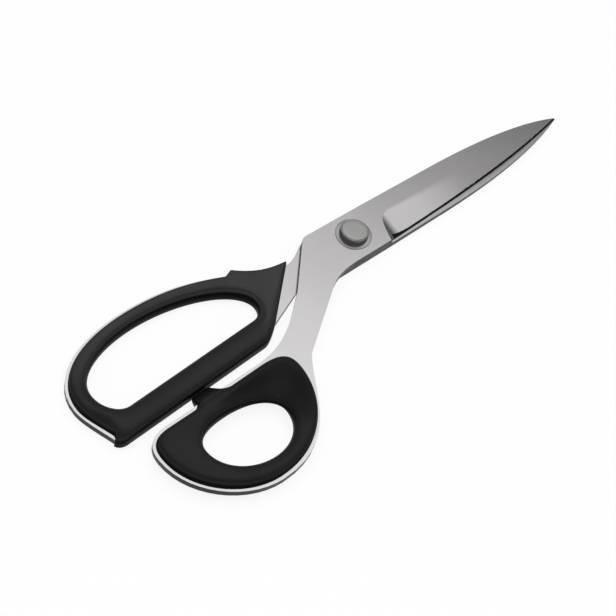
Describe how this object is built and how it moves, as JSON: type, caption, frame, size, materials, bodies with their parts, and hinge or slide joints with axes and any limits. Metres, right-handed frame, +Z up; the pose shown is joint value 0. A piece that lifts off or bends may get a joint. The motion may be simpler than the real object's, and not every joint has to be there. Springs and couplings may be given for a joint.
{
  "type": "dressmaking shears",
  "caption": "Bent-handled dressmaking shears: long bevelled steel blades crossing at a round pivot button, with soft black grips round the finger and thumb bows, for cutting cloth.",
  "frame": {"origin": "on the pivot axis, at the back face of the pivot bolt, which is the plane the closed shears rest on", "axes": "+X along the closed blades to the tips, +Y to the finger bow's side, +Z up along the pivot axis towards the button head"},
  "size_m": [0.2849, 0.0988, 0.0118],
  "materials": {
    "blade_steel": "satin ground stainless steel",
    "grip_elastomer": "matt moulded elastomer",
    "washer_steel": "satin",
    "pivot_steel": "satin turned",
    "spring_steel": "dull"
  },
  "bodies": {
    "finger_lever": {"finger_blade": "blade_steel", "finger_grip": "grip_elastomer", "thrust_washer": "washer_steel"},
    "thumb_lever": {"thumb_blade": "blade_steel", "thumb_grip": "grip_elastomer", "pivot_bolt": "pivot_steel", "head_washer": "washer_steel", "spring_washer": "spring_steel", "lock_nut": "pivot_steel"}
  },
  "joints": [
    {"name": "blade_pivot", "type": "hinge", "parent": "finger_lever", "child": "thumb_lever", "pos_m": [0, 0, 0], "axis": [0, 0, 1], "range_deg": [0, 60]}
  ]
}
